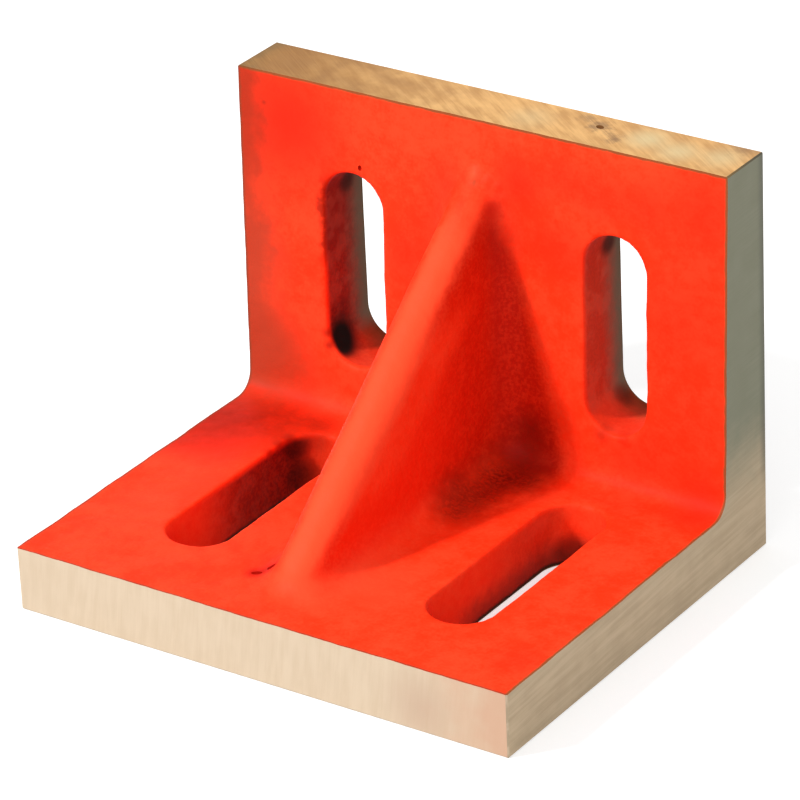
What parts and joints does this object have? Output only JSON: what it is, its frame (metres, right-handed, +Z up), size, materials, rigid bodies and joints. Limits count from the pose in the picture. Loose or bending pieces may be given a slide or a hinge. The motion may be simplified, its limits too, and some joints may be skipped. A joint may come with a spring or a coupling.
{
  "type": "angle plate",
  "caption": "Right-angle iron casting with slotted legs and a sloping web, bolted to a machine table to hold work upright.",
  "frame": {"origin": "centre of the bottom face", "axes": "+X along both legs; +Y from the front edge of the base to the outer face of the wall; +Z up"},
  "size_m": [0.1524, 0.127, 0.1143],
  "materials": {
    "casting": "red enamel over rough cast faces, outer faces and edges milled bare"
  },
  "bodies": {
    "root": {"angle_plate": "casting"}
  },
  "joints": []
}
